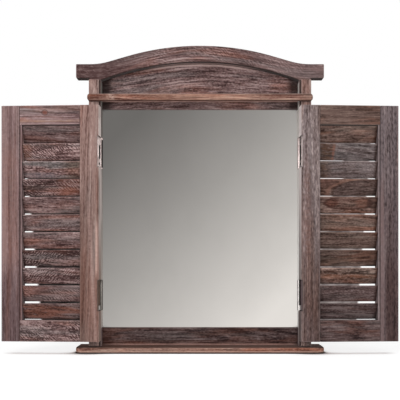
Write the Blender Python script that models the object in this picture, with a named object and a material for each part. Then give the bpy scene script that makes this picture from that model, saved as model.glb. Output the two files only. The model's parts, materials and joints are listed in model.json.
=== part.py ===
import math

import bmesh
import bpy
from mathutils import Matrix, Vector

# A wall mirror built like a small window: an arched crown on two posts, a shelf below, and two
# louvred shutters on butt hinges, standing open a little past flat.
# Metres, +Z up. The wall is the plane y = 0 and the room lies towards -Y.
# The origin is the middle of the crown's back face, where the frame lies on the wall.
# Heights are measured up from the shelf's underside, depths out from the wall.

# Clearances and cutters
seat_gap = 0.0003
overrun = 0.002
weld_distance = 0.000001

# Height of the origin above the middle of the crown's arched underside
origin_above_arch = 0.0143

# Posts, tenoned into the crown and the shelf
half_opening = 0.1736
post_width = 0.0168
post_depth = 0.038
post_arris = 0.0008
post_tenon_thickness = 0.006
post_tenon_shoulder = 0.006
crown_mortise = 0.014
shelf_mortise = 0.006

# Shelf
shelf_thickness = 0.0098
shelf_end_overhang = 0.0219
shelf_nose = 0.012
shelf_corner_radius = 0.014
shelf_roll = 0.0028
shelf_roll_steps = 3
shelf_corner_steps = 6

# Crown: level ends, a sweep up from each end, and one arc over the middle. Past the posts the
# ends are thinner from behind, and their undersides lie higher.
crown_end_overhang = 0.0235
crown_end_height = 0.0283
crown_depth = 0.0295
crown_underside_rise = 0.032
crown_level_length = 0.0239
crown_sweep_length = 0.033
crown_ramp_length = 0.032
crown_slope = math.radians(16.2)
crown_end_thickness = 0.015
crown_end_lift = 0.004
crown_corner_radius = 0.0025
crown_arris = 0.0008
crown_arc_steps = 16
crown_sweep_steps = 5
crown_corner_steps = 3
crown_underside_steps = 28

# Infill between the posts: bottom rail, sight opening and frieze board
infill_back = 0.0065
infill_thickness = 0.012
bottom_rail_height = 0.0307
sight_height = 0.3798
frieze_end_height = 0.0471
glass_lip = 0.0057
rebate_width = 0.005
infill_arris = 0.0005
infill_tenon_length = 0.010
infill_tenon_thickness = 0.005
infill_tenon_shoulder = 0.005

# Mirror glass, its backing and the points that hold them
glass_thickness = 0.003
backing_thickness = 0.003
point_length = 0.012
point_width = 0.008
point_thickness = 0.0008
point_grip = 0.004
point_height_shares = (0.2, 0.8)

# Strips that line the posts' inner faces
lining_thickness = 0.0031
lining_setback = 0.003

# Ledge strip across the posts' fronts
ledge_above_sight = 0.009
ledge_height = 0.012
ledge_thickness = 0.0075
ledge_end_overhang = 0.002
ledge_roll = 0.0038
ledge_corner_radius = 0.0046
ledge_roll_steps = 4

# Shutters
shutter_thickness = 0.018
shutter_lift = 0.0107
shutter_headroom = 0.0111
shutter_setback = 0.0003
closing_gap = 0.0018
meeting_gap = 0.0022
outer_stile_width = 0.031
hinge_stile_width = 0.0323
top_rail_height = 0.0322
low_rail_height = 0.0357
tenon_length = 0.020
tenon_thickness = 0.005
tenon_shoulder = 0.006
shutter_arris = 0.0005
open_past_flat = math.radians(3)

# Slats
slat_count = 11
slat_gap = 0.0022
slat_thickness = 0.0045
slat_tilt = math.radians(22)
slat_inset = 0.001
slat_housing = 0.006
slat_edge_steps = 4

# Strip along each outer stile's inner edge, where the slats end, set off by a fine groove
strip_width = 0.0037
strip_setback = 0.0005
quirk_width = 0.0009
quirk_depth = 0.001

# Butt hinges
hinge_height = 0.050
hinge_from_end = 0.078
leaf_thickness = 0.0011
leaf_width = 0.0175
pin_radius = 0.0011
centre_knuckle = 0.025
knuckle_wrap = math.radians(295)
knuckle_steps = 14
frame_mortise = 0.001
pin_head_radius = 0.0022
pin_head_height = 0.0009
pin_sides = 12
screw_hole_radius = 0.0015
screw_head_radius = 0.0026
screw_spacing = 0.032
screw_from_axis = 0.0105
screw_sides = 12

# Toothed wall hangers
hanger_offset = 0.095
hanger_above_sight = 0.026
hanger_length = 0.045
hanger_height = 0.009
hanger_thickness = 0.0007
hanger_rise = 0.0023
hanger_foot = 0.0065
hanger_ramp = 0.003
hanger_tooth = 0.0016
hanger_teeth = 9
nail_hole_radius = 0.0011
nail_hole_sides = 8

# Sizes that follow from the ones above
post_outer = half_opening + post_width
post_foot = shelf_thickness + seat_gap
shelf_half_length = post_outer + shelf_end_overhang
shelf_depth = post_depth + shelf_nose
sight_bottom = post_foot + bottom_rail_height
sight_top = sight_bottom + sight_height
crown_underside = sight_top + frieze_end_height
mount_height = crown_underside + crown_underside_rise + origin_above_arch
post_top = crown_underside - seat_gap
post_middle = half_opening + post_width / 2
infill_front = infill_back + infill_thickness
infill_middle = infill_back + infill_thickness / 2
infill_half = half_opening - seat_gap
lip_back = infill_front - glass_lip
rebate_bottom = sight_bottom - rebate_width
rebate_top = sight_top + rebate_width
rail_tenon = (post_foot + infill_tenon_shoulder, rebate_bottom - infill_tenon_shoulder)
frieze_tenon = (rebate_top + infill_tenon_shoulder, post_top - infill_tenon_shoulder)
glass_front = lip_back - seat_gap
backing_front = glass_front - glass_thickness - seat_gap
backing_back = backing_front - backing_thickness
point_front = backing_back - seat_gap
lining_face = half_opening - seat_gap - lining_thickness
lining_front = post_depth - lining_setback
ledge_bottom = sight_top + ledge_above_sight
ledge_back = post_depth + seat_gap
crown_half_length = post_outer + crown_end_overhang
crown_end_top = crown_underside + crown_end_height
crown_reach = crown_half_length - crown_level_length
crown_ramp_end = crown_reach - crown_sweep_length
crown_arc_half = crown_ramp_end - crown_ramp_length
knuckle_bore = pin_radius + seat_gap
knuckle_radius = knuckle_bore + leaf_thickness
leaf_seat = knuckle_radius + seat_gap
axis_x = lining_face + frame_mortise - leaf_seat
axis_depth = post_depth - shutter_setback + knuckle_radius
shutter_bottom = shelf_thickness + shutter_lift
shutter_height = ledge_bottom - shutter_headroom - shutter_bottom
shutter_start = axis_x + closing_gap - lining_face
shutter_end = axis_x - meeting_gap
shutter_back = knuckle_radius
shutter_front = shutter_back + shutter_thickness
shutter_middle = shutter_back + shutter_thickness / 2
slat_middle = shutter_middle - slat_inset
hinge_stile_inner = shutter_start + hinge_stile_width
outer_stile_inner = shutter_end - outer_stile_width
strip_edge = outer_stile_inner - strip_width
strip_front = shutter_front - strip_setback
field_bottom = low_rail_height
field_top = shutter_height - top_rail_height
low_tenon = (tenon_shoulder, field_bottom - tenon_shoulder)
top_tenon = (field_top + tenon_shoulder, shutter_height - tenon_shoulder)
slat_pitch = (field_top - field_bottom) / slat_count
slat_reach = (slat_pitch - slat_gap - slat_thickness) / math.cos(slat_tilt) / 2
slat_levels = [field_bottom + slat_pitch * (i + 0.5) for i in range(slat_count)]
hinge_levels = (("lower", hinge_from_end), ("upper", shutter_height - hinge_from_end))
screw_levels = (-screw_spacing / 2, screw_spacing / 2)
hanger_back = infill_back - seat_gap - hanger_thickness

sides = (("left", -1), ("right", 1))
upward = Vector((0.0, 0.0, 1.0))


# Materials

def make_material(name, colour, roughness, metallic=0.0):
    # A plain surface with one colour.
    material = bpy.data.materials.new(name)
    material.use_nodes = True
    surface = material.node_tree.nodes["Principled BSDF"]
    surface.inputs["Base Color"].default_value = (*colour, 1.0)
    surface.inputs["Roughness"].default_value = roughness
    surface.inputs["Metallic"].default_value = metallic
    material.diffuse_color = (*colour, 1.0)
    return material


def wood(name, shade=1.0):
    # Stained brown wood: one hue, lighter or darker from board to board.
    return make_material(name + "_wood", (0.20 * shade, 0.135 * shade, 0.115 * shade), 0.6)


def steel(name):
    return make_material(name + "_steel", (0.62, 0.60, 0.58), 0.32, 1.0)


# Shapes

def place(x, depth, height):
    # Point in the frame from a distance off centre, a depth out from the wall and a height.
    return Vector((x, -depth, height - mount_height))


def hung(side, out, ahead, up):
    # Point on a shutter that lies open flat: out from the hinge axis, towards the room, and up.
    return Vector((side * out, -ahead, up))


def add_prism(shape, outline, travel):
    # Extrudes a flat outline along a straight line.
    face = shape.faces.new([shape.verts.new(point) for point in outline])
    grown = bmesh.ops.extrude_face_region(shape, geom=[face])
    moved = [item for item in grown["geom"] if isinstance(item, bmesh.types.BMVert)]
    bmesh.ops.translate(shape, verts=moved, vec=travel)


def add_block(shape, low, high):
    # A rectangular block between two opposite corners, in any order.
    size = high - low
    scale = Matrix.Diagonal((abs(size.x), abs(size.y), abs(size.z), 1.0))
    bmesh.ops.create_cube(shape, size=1.0, matrix=Matrix.Translation((low + high) / 2) @ scale)


def add_turned(shape, start, direction, profile, steps):
    # Turns a profile of (distance along the axis, radius) pairs round an axis through start.
    along = Vector(direction).normalized()
    across = along.orthogonal().normalized()
    points = [start + along * distance + across * radius for distance, radius in profile]
    points = [start + along * profile[0][0]] + points + [start + along * profile[-1][0]]
    verts = [shape.verts.new(point) for point in points]
    edges = [shape.edges.new(pair) for pair in zip(verts, verts[1:])]
    bmesh.ops.spin(shape, geom=verts + edges, cent=start, axis=along, angle=math.tau,
                   steps=steps, use_merge=True)


def add_loft(shape, rings):
    # Bridges rings of points one after another and closes both ends.
    loops = []
    for ring in rings:
        verts = [shape.verts.new(point) for point in ring]
        loops.append([shape.edges.new((verts[i - 1], verts[i])) for i in range(len(verts))])
    for lower, upper in zip(loops, loops[1:]):
        bmesh.ops.bridge_loops(shape, edges=lower + upper)
    bmesh.ops.edgeloop_fill(shape, edges=loops[0])
    bmesh.ops.edgeloop_fill(shape, edges=loops[-1])


def arc(centre_x, centre_y, radius, start, end, steps):
    # Points on an arc in a plane, both ends included.
    turns = [start + (end - start) * i / steps for i in range(steps + 1)]
    return [(centre_x + radius * math.cos(a), centre_y + radius * math.sin(a)) for a in turns]


# Objects

def make_object(name, shape, material, parent):
    # Turns a shape into an object whose faces point out.
    bmesh.ops.remove_doubles(shape, verts=shape.verts, dist=weld_distance)
    bmesh.ops.recalc_face_normals(shape, faces=shape.faces)
    mesh = bpy.data.meshes.new(name)
    shape.to_mesh(mesh)
    shape.free()
    if material:
        mesh.materials.append(material)
    item = bpy.data.objects.new(name, mesh)
    bpy.context.scene.collection.objects.link(item)
    item.parent = parent
    return item


def ease_edges(item, width):
    # Breaks the sharp arrises of a board.
    bevel = item.modifiers.new("arris", "BEVEL")
    bevel.width = width
    bevel.segments = 1
    bevel.limit_method = "ANGLE"
    bevel.angle_limit = math.radians(50)


def combine(item, shape, operation):
    # Adds a shape to an object or takes it away; the shape stays as a hidden wire object.
    helper = make_object(f"{item.name}_{operation.lower()}", shape, None, item.parent)
    helper.hide_render = True
    helper.display_type = "WIRE"
    boolean = item.modifiers.new(operation.lower(), "BOOLEAN")
    boolean.operation = operation
    boolean.solver = "EXACT"
    boolean.object = helper


def smooth_round_faces(item):
    item.data.shade_smooth()
    item.data.set_sharp_from_angle(angle=math.radians(40))


# Crown

def crown_top_rise(x):
    # Height of the crown's top edge above its level ends, x out from the centre line.
    arc_radius = crown_arc_half / math.sin(crown_slope)
    sweep_radius = crown_sweep_length / math.sin(crown_slope)
    sweep_rise = crown_sweep_length * math.tan(crown_slope / 2)
    shoulder_rise = sweep_rise + crown_ramp_length * math.tan(crown_slope)
    arc_rise = crown_arc_half * math.tan(crown_slope / 2)
    if x >= crown_ramp_end:
        return sweep_radius - math.sqrt(sweep_radius ** 2 - (crown_reach - x) ** 2)
    if x >= crown_arc_half:
        return sweep_rise + (crown_ramp_end - x) * math.tan(crown_slope)
    return shoulder_rise + arc_rise - arc_radius + math.sqrt(arc_radius ** 2 - x ** 2)


def crown_half_top():
    # Top edge from the centre line to the end of the sweep.
    over = [crown_arc_half * i / crown_arc_steps for i in range(crown_arc_steps + 1)]
    sweep = [crown_ramp_end + crown_sweep_length * i / crown_sweep_steps
             for i in range(crown_sweep_steps + 1)]
    return [(x, crown_end_top + crown_top_rise(x)) for x in over + sweep]


def underside_height(x, gap=0.0):
    # Height of the arch that springs from the posts' inner faces, less a gap.
    radius = (half_opening ** 2 + crown_underside_rise ** 2) / (2 * crown_underside_rise)
    rise = math.sqrt((radius - gap) ** 2 - x ** 2) - radius + crown_underside_rise
    return crown_underside + rise


def arch_points(half_span, gap=0.0):
    # The arch from its right end to its left end.
    steps = crown_underside_steps
    across = [half_span - 2 * half_span * i / steps for i in range(steps + 1)]
    return [(x, underside_height(x, gap)) for x in across]


def post_mortise(side, near, far, low, high):
    # Block for the tenon between a post and the board above or below it, with its clearance.
    half = post_tenon_thickness / 2 + seat_gap
    return (place(side * post_middle - half, near - seat_gap, low),
            place(side * post_middle + half, far + seat_gap, high))


def build_crown(parent):
    end_underside = crown_underside + crown_end_lift
    corner = arc(crown_half_length - crown_corner_radius, end_underside + crown_corner_radius,
                 crown_corner_radius, 0.0, -math.pi / 2, crown_corner_steps)
    step = [(post_outer, end_underside), (post_outer, crown_underside)]
    half = crown_half_top() + [(crown_half_length, crown_end_top)] + corner + step
    mirrored = [(-x, height) for x, height in reversed(half[1:])]
    outline = half + arch_points(half_opening) + mirrored
    shape = bmesh.new()
    add_prism(shape, [place(x, 0.0, height) for x, height in outline],
              Vector((0.0, -crown_depth, 0.0)))
    crown = make_object("crown", shape, wood("crown", 0.95), parent)
    ease_edges(crown, crown_arris)
    cuts = bmesh.new()
    for _, side in sides:
        add_block(cuts, *post_mortise(side, post_tenon_shoulder, crown_depth - post_tenon_shoulder,
                                      crown_underside - overrun, crown_underside + crown_mortise))
        add_block(cuts, place(side * post_outer, -overrun, crown_underside - overrun),
                  place(side * (crown_half_length + overrun), crown_depth - crown_end_thickness,
                        crown_end_top + overrun))
    combine(crown, cuts, "DIFFERENCE")


# Posts and linings

def add_points(shape, side, level, gap=0.0):
    # A glazing point, its outer end bedded in the post.
    half = Vector((point_length / 2 + gap, point_thickness / 2 + gap, point_width / 2 + gap))
    centre = place(side * (half_opening + point_grip - point_length / 2),
                   point_front - point_thickness / 2, level)
    add_block(shape, centre - half, centre + half)


def point_levels():
    low, high = point_height_shares
    return (("lower", sight_bottom + low * sight_height), ("upper", sight_bottom + high * sight_height))


def add_infill_tenon(shape, side, start, span, gap=0.0):
    # Tenon of the bottom rail or the frieze board, or with a gap its mortise in the post.
    half = infill_tenon_thickness / 2 + gap
    end = half_opening + infill_tenon_length + gap
    add_block(shape, place(side * start, infill_middle - half, span[0] - gap),
              place(side * end, infill_middle + half, span[1] + gap))


def build_post(name, side, parent):
    shape = bmesh.new()
    add_block(shape, place(side * half_opening, 0.0, post_foot),
              place(side * post_outer, post_depth, post_top))
    post = make_object(name + "_post", shape, wood(name + "_post", 1.2), parent)
    ease_edges(post, post_arris)
    half = post_tenon_thickness / 2
    tenons = bmesh.new()
    add_block(tenons, place(side * post_middle - half, post_tenon_shoulder, post_top - overrun),
              place(side * post_middle + half, crown_depth - post_tenon_shoulder,
                    post_top + crown_mortise))
    add_block(tenons, place(side * post_middle - half, post_tenon_shoulder, post_foot + overrun),
              place(side * post_middle + half, post_depth - post_tenon_shoulder,
                    post_foot - shelf_mortise))
    combine(post, tenons, "UNION")
    mortises = bmesh.new()
    for span in (rail_tenon, frieze_tenon):
        add_infill_tenon(mortises, side, half_opening - overrun, span, seat_gap)
    for _, level in point_levels():
        add_points(mortises, side, level, seat_gap)
    combine(post, mortises, "DIFFERENCE")


def build_lining(name, side, parent):
    # The strip stands in front of the glass and is notched over the rail and the frieze board.
    behind = infill_front + seat_gap
    low = sight_bottom + seat_gap
    high = sight_top - seat_gap
    outline = [(lining_front, post_foot), (lining_front, post_top), (behind, post_top),
               (behind, high), (lip_back, high), (lip_back, low), (behind, low),
               (behind, post_foot)]
    shape = bmesh.new()
    add_prism(shape, [place(side * lining_face, depth, height) for depth, height in outline],
              Vector((side * lining_thickness, 0.0, 0.0)))
    lining = make_object(name + "_lining", shape, wood(name + "_lining", 1.0), parent)
    mortises = bmesh.new()
    half = hinge_height / 2 + seat_gap
    for _, level in hinge_levels:
        centre = shutter_bottom + level
        add_block(mortises,
                  place(side * (lining_face - overrun), axis_depth, centre - half),
                  place(side * (axis_x + leaf_seat), axis_depth - leaf_width - seat_gap, centre + half))
    combine(lining, mortises, "DIFFERENCE")


# Infill

def build_bottom_rail(parent):
    outline = [(infill_back, post_foot), (infill_front, post_foot), (infill_front, sight_bottom),
               (lip_back, sight_bottom), (lip_back, rebate_bottom), (infill_back, rebate_bottom)]
    shape = bmesh.new()
    add_prism(shape, [place(-infill_half, depth, height) for depth, height in outline],
              Vector((2 * infill_half, 0.0, 0.0)))
    rail = make_object("bottom_rail", shape, wood("bottom_rail", 0.8), parent)
    ease_edges(rail, infill_arris)
    tenons = bmesh.new()
    for _, side in sides:
        add_infill_tenon(tenons, side, infill_half - overrun, rail_tenon)
    combine(rail, tenons, "UNION")


def build_frieze_board(parent):
    outline = [(-infill_half, sight_top), (infill_half, sight_top)]
    outline += arch_points(infill_half, seat_gap)
    shape = bmesh.new()
    add_prism(shape, [place(x, infill_back, height) for x, height in outline],
              Vector((0.0, -infill_thickness, 0.0)))
    board = make_object("frieze_board", shape, wood("frieze_board", 0.95), parent)
    ease_edges(board, infill_arris)
    rebate = bmesh.new()
    add_block(rebate, place(-half_opening, infill_back - overrun, sight_top - overrun),
              place(half_opening, lip_back, rebate_top))
    combine(board, rebate, "DIFFERENCE")
    tenons = bmesh.new()
    for _, side in sides:
        add_infill_tenon(tenons, side, infill_half - overrun, frieze_tenon)
    combine(board, tenons, "UNION")


def build_glass_and_backing(parent):
    bottom = rebate_bottom + seat_gap
    top = rebate_top - seat_gap
    glass = bmesh.new()
    add_block(glass, place(-infill_half, glass_front - glass_thickness, bottom),
              place(infill_half, glass_front, top))
    silver = make_material("mirror_glass_silver", (0.85, 0.86, 0.86), 0.03, 1.0)
    make_object("mirror_glass", glass, silver, parent)
    backing = bmesh.new()
    add_block(backing, place(-infill_half, backing_back, bottom),
              place(infill_half, backing_front, top))
    hardboard = make_material("backing_board_hardboard", (0.19, 0.11, 0.06), 0.7)
    make_object("backing_board", backing, hardboard, parent)
    for name, side in sides:
        for row, level in point_levels():
            point = bmesh.new()
            add_points(point, side, level)
            title = f"{name}_{row}_backing_point"
            make_object(title, point, steel(title), parent)


# Ledge strip, shelf and hangers

def build_ledge_strip(parent):
    # A round-cornered strip whose front edges roll back by a quarter round.
    middle = ledge_bottom + ledge_height / 2
    front = ledge_back + ledge_thickness
    stations = [(ledge_back, 0.0)]
    for i in range(ledge_roll_steps + 1):
        turn = math.pi / 2 * i / ledge_roll_steps
        stations.append((front - ledge_roll + ledge_roll * math.sin(turn),
                         ledge_roll - ledge_roll * math.cos(turn)))
    rings = []
    reach_x = post_outer + ledge_end_overhang - ledge_corner_radius
    reach_z = ledge_height / 2 - ledge_corner_radius
    for depth, inset in stations:
        radius = ledge_corner_radius - inset
        ring = []
        for quarter in range(4):
            centre_x = reach_x if quarter in (0, 3) else -reach_x
            centre_z = reach_z if quarter in (0, 1) else -reach_z
            start = math.pi / 2 * quarter
            ring += arc(centre_x, centre_z, radius, start, start + math.pi / 2, ledge_roll_steps)
        rings.append([place(x, depth, middle + rise) for x, rise in ring])
    shape = bmesh.new()
    add_loft(shape, rings)
    smooth_round_faces(make_object("ledge_strip", shape, wood("ledge_strip", 1.3), parent))


def build_shelf(parent):
    # The plan outline with rounded front corners, rolled over at its ends and front.
    lower = []
    for i in range(shelf_roll_steps + 1):
        turn = math.pi / 2 * i / shelf_roll_steps
        lower.append((shelf_roll - shelf_roll * math.cos(turn), shelf_roll - shelf_roll * math.sin(turn)))
    upper = [(shelf_thickness - height, inset) for height, inset in reversed(lower)]
    reach_x = shelf_half_length - shelf_corner_radius
    reach_depth = shelf_depth - shelf_corner_radius
    rings = []
    for height, inset in lower + upper:
        end = shelf_half_length - inset
        right = arc(reach_x, reach_depth, shelf_corner_radius - inset, 0.0, math.pi / 2,
                    shelf_corner_steps)
        left = [(-x, depth) for x, depth in reversed(right)]
        outline = right + left + [(-end, 0.0), (end, 0.0)]
        rings.append([place(x, depth, height) for x, depth in outline])
    shape = bmesh.new()
    add_loft(shape, rings)
    shelf = make_object("shelf", shape, wood("shelf", 1.1), parent)
    smooth_round_faces(shelf)
    mortises = bmesh.new()
    for _, side in sides:
        add_block(mortises, *post_mortise(side, post_tenon_shoulder, post_depth - post_tenon_shoulder,
                                          shelf_thickness - shelf_mortise, shelf_thickness + overrun))
    combine(shelf, mortises, "DIFFERENCE")


def hanger_stations():
    # Along a hanger: place, rise off the board, and height of the lower edge between the teeth.
    half = hanger_length / 2
    foot_end = half - hanger_foot
    ramp_end = foot_end - hanger_ramp
    tooth_width = 2 * ramp_end / hanger_teeth
    stations = [(-half, 0.0, 0.0), (-foot_end, 0.0, 0.0)]
    for i in range(hanger_teeth):
        start = -ramp_end + i * tooth_width
        stations.append((start, hanger_rise, 0.0))
        stations.append((start + tooth_width / 2, hanger_rise, hanger_tooth))
    return stations + [(ramp_end, hanger_rise, 0.0), (foot_end, 0.0, 0.0), (half, 0.0, 0.0)]


def build_wall_hanger(name, side, parent):
    # A bent strip, raised off the board between its feet, with teeth along the lower edge.
    bottom = sight_top + hanger_above_sight
    top = bottom + hanger_height
    rings = []
    for along, rise, notch in hanger_stations():
        x = side * hanger_offset + along
        back = hanger_back - rise
        front = back + hanger_thickness
        rings.append([place(x, back, bottom + notch), place(x, front, bottom + notch),
                      place(x, front, top), place(x, back, top)])
    shape = bmesh.new()
    add_loft(shape, rings)
    brass = make_material(name + "_wall_hanger_brass", (0.70, 0.56, 0.30), 0.35, 1.0)
    hanger = make_object(name + "_wall_hanger", shape, brass, parent)
    holes = bmesh.new()
    for end in (-1, 1):
        x = side * hanger_offset + end * (hanger_length - hanger_foot) / 2
        add_turned(holes, place(x, hanger_back, (bottom + top) / 2), (0.0, -1.0, 0.0),
                   [(-overrun, nail_hole_radius), (overrun, nail_hole_radius)], nail_hole_sides)
    combine(hanger, holes, "DIFFERENCE")


# Hinges: each leaf is a strip rolled round the pin, with room cut for the other leaf's knuckles

def add_knuckle_gap(shape, centre, side, forward, low, high):
    # Block that clears the roll, and the strip next to it, between two heights.
    reach = knuckle_radius + overrun
    strip = knuckle_radius + seat_gap
    add_block(shape, centre + hung(side, -reach, -forward * reach, low),
              centre + hung(side, reach, forward * strip, high))


def build_leaf(name, centre, side, forward, parent):
    # forward is 1 for a leaf that reaches towards the room, whose knuckles are the outer ones,
    # and -1 for one that reaches towards the wall and holds the middle knuckle.
    outer = arc(0.0, 0.0, knuckle_radius, 0.0, knuckle_wrap, knuckle_steps)
    inner = arc(0.0, 0.0, knuckle_bore, knuckle_wrap, 0.0, knuckle_steps)
    plan = [(out, -forward * ahead) for out, ahead in outer + inner]
    plan += [(knuckle_bore, forward * leaf_width), (knuckle_radius, forward * leaf_width)]
    half = hinge_height / 2
    shape = bmesh.new()
    add_prism(shape, [centre + hung(side, out, ahead, -half) for out, ahead in plan],
              upward * hinge_height)
    leaf = make_object(name, shape, steel(name), parent)
    smooth_round_faces(leaf)
    half_centre = centre_knuckle / 2
    gaps = bmesh.new()
    if forward > 0:
        clear = half_centre + seat_gap
        add_knuckle_gap(gaps, centre, side, forward, -clear, clear)
    else:
        add_knuckle_gap(gaps, centre, side, forward, half_centre, half + overrun)
        add_knuckle_gap(gaps, centre, side, forward, -half - overrun, -half_centre)
    combine(leaf, gaps, "DIFFERENCE")
    holes = bmesh.new()
    for level in screw_levels:
        head = centre + hung(side, knuckle_bore, forward * screw_from_axis, level)
        countersink = [(-overrun, screw_head_radius), (0.0, screw_head_radius),
                       (leaf_thickness, screw_hole_radius),
                       (leaf_thickness + overrun, screw_hole_radius)]
        add_turned(holes, head, (side, 0.0, 0.0), countersink, screw_sides)
    combine(leaf, holes, "DIFFERENCE")


def build_hinge_pin(name, centre, parent):
    # A pin with a low round head at each end.
    half = hinge_height / 2 + seat_gap
    crest = half + pin_head_height
    upper = [(half, pin_radius), (half, pin_head_radius),
             (half + pin_head_height / 2, pin_head_radius),
             (crest, pin_head_radius - pin_head_height / 2)]
    lower = [(-distance, radius) for distance, radius in reversed(upper)]
    shape = bmesh.new()
    add_turned(shape, centre, upward, lower + upper, pin_sides)
    smooth_round_faces(make_object(name, shape, steel(name), parent))


# Shutters

def slat_outline(gap=0.0):
    # Section of a slat with half-round edges, leaning so that its top edge is the nearer one.
    radius = slat_thickness / 2 + gap
    upright = arc(0.0, slat_reach, radius, 0.0, math.pi, slat_edge_steps)
    upright += arc(0.0, -slat_reach, radius, math.pi, math.tau, slat_edge_steps)
    lean = math.sin(slat_tilt)
    rise = math.cos(slat_tilt)
    return [(ahead * rise + up * lean, up * rise - ahead * lean) for ahead, up in upright]


def add_slat(shape, side, level, start, end, gap=0.0):
    outline = [hung(side, start, slat_middle + ahead, level + up)
               for ahead, up in slat_outline(gap)]
    add_prism(shape, outline, Vector((side * (end - start), 0.0, 0.0)))


def add_slat_strip(stile, side):
    # The strip stops at the rails; the groove runs between it and the stile's own arris.
    strip = bmesh.new()
    add_block(strip, hung(side, outer_stile_inner + overrun, shutter_back, field_bottom + seat_gap),
              hung(side, strip_edge, strip_front, field_top - seat_gap))
    combine(stile, strip, "UNION")
    quirk = bmesh.new()
    add_block(quirk, hung(side, outer_stile_inner, shutter_front + overrun, field_bottom),
              hung(side, outer_stile_inner - quirk_width, strip_front - quirk_depth, field_top))
    combine(stile, quirk, "DIFFERENCE")


def build_stile(name, side, start, end, inner, slat_face, into, parent):
    # A stile with a housing for each slat and a mortise for each rail, cut from its inner edge.
    shape = bmesh.new()
    add_block(shape, hung(side, start, shutter_back, 0.0),
              hung(side, end, shutter_front, shutter_height))
    stile = make_object(name, shape, wood(name, 1.25), parent)
    ease_edges(stile, shutter_arris)
    if slat_face != inner:
        add_slat_strip(stile, side)
    holes = bmesh.new()
    for level in slat_levels:
        add_slat(holes, side, level, slat_face - into * overrun, slat_face + into * slat_housing,
                 seat_gap)
    open_side = inner - into * overrun
    half = tenon_thickness / 2 + seat_gap
    blind_end = inner + into * (tenon_length + seat_gap)
    for low, high in (low_tenon, top_tenon):
        add_block(holes, hung(side, open_side, shutter_middle - half, low - seat_gap),
                  hung(side, blind_end, shutter_middle + half, high + seat_gap))
    combine(stile, holes, "DIFFERENCE")
    return stile


def cut_hinge_mortises(stile, side):
    # The leaves lie at the bottom of mortises that run through the stile's whole thickness.
    mortises = bmesh.new()
    half = hinge_height / 2 + seat_gap + pin_head_height + seat_gap
    for _, level in hinge_levels:
        add_block(mortises, hung(side, shutter_start - overrun, shutter_back - overrun, level - half),
                  hung(side, leaf_seat, shutter_front + overrun, level + half))
    combine(stile, mortises, "DIFFERENCE")


def build_shutter_rail(name, side, low, high, tenon, parent):
    # A rail between the stiles with a stub tenon at each end.
    shape = bmesh.new()
    add_block(shape, hung(side, hinge_stile_inner + seat_gap, shutter_back, low),
              hung(side, outer_stile_inner - seat_gap, shutter_front, high))
    rail = make_object(name, shape, wood(name, 1.1), parent)
    ease_edges(rail, shutter_arris)
    half = tenon_thickness / 2
    core = bmesh.new()
    add_block(core, hung(side, hinge_stile_inner - tenon_length, shutter_middle - half, tenon[0]),
              hung(side, outer_stile_inner + tenon_length, shutter_middle + half, tenon[1]))
    combine(rail, core, "UNION")


def build_shutter(name, side, root):
    pivot = bpy.data.objects.new(name + "_shutter_pivot", None)
    bpy.context.scene.collection.objects.link(pivot)
    pivot.location = place(side * axis_x, axis_depth, shutter_bottom)
    pivot.rotation_euler.z = side * open_past_flat
    pivot.parent = root

    prefix = name + "_shutter_"
    hinge_stile = build_stile(prefix + "hinge_stile", side, shutter_start, hinge_stile_inner,
                              hinge_stile_inner, hinge_stile_inner, -1, pivot)
    cut_hinge_mortises(hinge_stile, side)
    build_stile(prefix + "outer_stile", side, outer_stile_inner, shutter_end,
                outer_stile_inner, strip_edge, 1, pivot)
    build_shutter_rail(prefix + "bottom_rail", side, 0.0, field_bottom, low_tenon, pivot)
    build_shutter_rail(prefix + "top_rail", side, field_top, shutter_height, top_tenon, pivot)

    start = hinge_stile_inner - slat_housing + seat_gap
    end = strip_edge + slat_housing - seat_gap
    for number, level in enumerate(reversed(slat_levels), 1):
        slat = bmesh.new()
        add_slat(slat, side, level, start, end)
        title = f"{prefix}louvre_{number:02d}"
        smooth_round_faces(make_object(title, slat, wood(title), pivot))

    for row, level in hinge_levels:
        build_leaf(f"{name}_{row}_shutter_leaf", level * upward, side, 1, pivot)


def build_frame(root):
    build_crown(root)
    build_frieze_board(root)
    build_bottom_rail(root)
    build_shelf(root)
    build_ledge_strip(root)
    build_glass_and_backing(root)
    for name, side in sides:
        build_post(name, side, root)
        build_lining(name, side, root)
        build_wall_hanger(name, side, root)
        for row, level in hinge_levels:
            centre = place(side * axis_x, axis_depth, shutter_bottom + level)
            build_leaf(f"{name}_{row}_frame_leaf", centre, side, -1, root)
            build_hinge_pin(f"{name}_{row}_hinge_pin", centre, root)


def main():
    for item in list(bpy.data.objects):
        bpy.data.objects.remove(item)
    root = bpy.data.objects.new("wall_mirror", None)
    bpy.context.scene.collection.objects.link(root)
    build_frame(root)
    for name, side in sides:
        build_shutter(name, side, root)


main()
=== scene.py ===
import json
import math

import bmesh
import bpy
import numpy as np
from mathutils import Matrix, Vector


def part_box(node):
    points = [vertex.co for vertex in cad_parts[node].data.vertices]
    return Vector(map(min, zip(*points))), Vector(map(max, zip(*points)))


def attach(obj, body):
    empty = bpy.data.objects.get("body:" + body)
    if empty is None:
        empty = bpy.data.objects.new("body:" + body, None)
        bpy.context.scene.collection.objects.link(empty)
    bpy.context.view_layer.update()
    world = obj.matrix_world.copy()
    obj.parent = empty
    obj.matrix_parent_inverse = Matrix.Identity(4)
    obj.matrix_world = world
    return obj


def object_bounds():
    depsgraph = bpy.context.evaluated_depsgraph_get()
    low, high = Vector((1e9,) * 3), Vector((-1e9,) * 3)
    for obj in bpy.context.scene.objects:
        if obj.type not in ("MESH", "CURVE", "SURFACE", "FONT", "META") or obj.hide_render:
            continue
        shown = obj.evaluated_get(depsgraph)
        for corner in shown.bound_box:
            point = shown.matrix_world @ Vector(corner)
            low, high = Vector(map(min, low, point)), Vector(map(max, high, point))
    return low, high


# A wooden wall mirror built like a window, its two louvred shutters standing open.
# Metres, Z up, the wall at y = 0 and the room towards -Y.

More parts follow.
